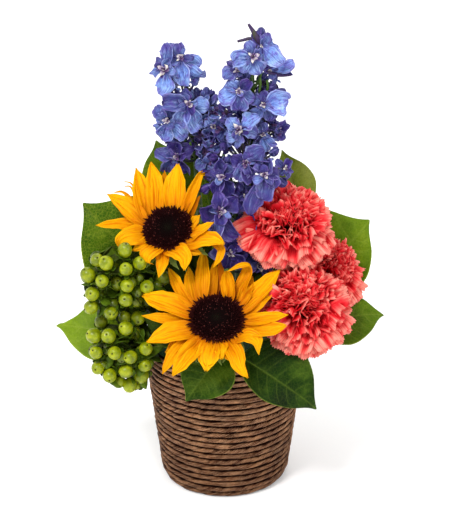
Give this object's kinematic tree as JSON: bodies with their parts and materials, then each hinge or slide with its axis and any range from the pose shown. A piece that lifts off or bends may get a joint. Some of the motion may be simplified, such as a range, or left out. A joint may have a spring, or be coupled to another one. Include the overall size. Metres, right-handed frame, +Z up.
{
  "type": "flower basket arrangement",
  "caption": "Flower arrangement of sunflowers, carnations, delphiniums, hypericum berries and salal leaves standing in a round coiled-rope basket.",
  "frame": {"origin": "middle of the basket's flat underside, on the surface it stands on", "axes": "+Z up along the basket's axis, -Y towards the side the flowers face, +X to a viewer's right"},
  "size_m": [0.2333, 0.1917, 0.3381],
  "materials": {
    "rope": "matte",
    "liner": "satin",
    "foam": "matte",
    "sunflower_ray": "satin",
    "sunflower_disc": "matte",
    "carnation_petal": "matte",
    "salal_leaf": "satin",
    "berry": "gloss",
    "delphinium": "satin",
    "green_stem": "satin"
  },
  "bodies": {
    "root": {"basket_base": "rope", "basket_rim": "rope", "basket_wall": "rope", "carnation_low_calyx": "green_stem", "carnation_low_petals": "carnation_petal", "carnation_low_stem": "green_stem", "carnation_right_calyx": "green_stem", "carnation_right_petals": "carnation_petal", "carnation_right_stem": "green_stem", "carnation_top_calyx": "green_stem", "carnation_top_petals": "carnation_petal", "carnation_top_stem": "green_stem", "delphinium_front_floret_1": "delphinium", "delphinium_front_floret_2": "delphinium", "delphinium_front_floret_3": "delphinium", "delphinium_front_floret_4": "delphinium", "delphinium_front_floret_5": "delphinium", "delphinium_front_floret_6": "delphinium", "delphinium_front_stem": "delphinium", "delphinium_left_floret_1": "delphinium", "delphinium_left_floret_2": "delphinium", "delphinium_left_floret_3": "delphinium", "delphinium_left_floret_4": "delphinium", "delphinium_left_floret_5": "delphinium", "delphinium_left_floret_6": "delphinium", "delphinium_left_stem": "delphinium", "delphinium_right_floret_1": "delphinium", "delphinium_right_floret_2": "delphinium", "delphinium_right_floret_3": "delphinium", "delphinium_right_floret_4": "delphinium", "delphinium_right_floret_5": "delphinium", "delphinium_right_floret_6": "delphinium", "delphinium_right_stem": "delphinium", "floral_foam": "foam", "hypericum_lower_inner": "berry", "hypericum_lower_outer": "berry", "hypericum_upper_inner": "berry", "hypericum_upper_outer": "berry", "leaf_back": "salal_leaf", "leaf_back_left": "salal_leaf", "leaf_back_low_left": "salal_leaf", "leaf_back_low_right": "salal_leaf", "leaf_back_right": "salal_leaf", "leaf_front": "salal_leaf", "leaf_front_right": "salal_leaf", "leaf_left": "salal_leaf", "leaf_left_low": "salal_leaf", "leaf_right": "salal_leaf", "leaf_right_low": "salal_leaf", "leaf_upper_left": "salal_leaf", "leaf_upper_right": "salal_leaf", "liner": "liner", "sunflower_high_calyx": "green_stem", "sunflower_high_disc": "sunflower_disc", "sunflower_high_rays": "sunflower_ray", "sunflower_high_stem": "green_stem", "sunflower_low_calyx": "green_stem", "sunflower_low_disc": "sunflower_disc", "sunflower_low_rays": "sunflower_ray", "sunflower_low_stem": "green_stem"}
  },
  "joints": []
}
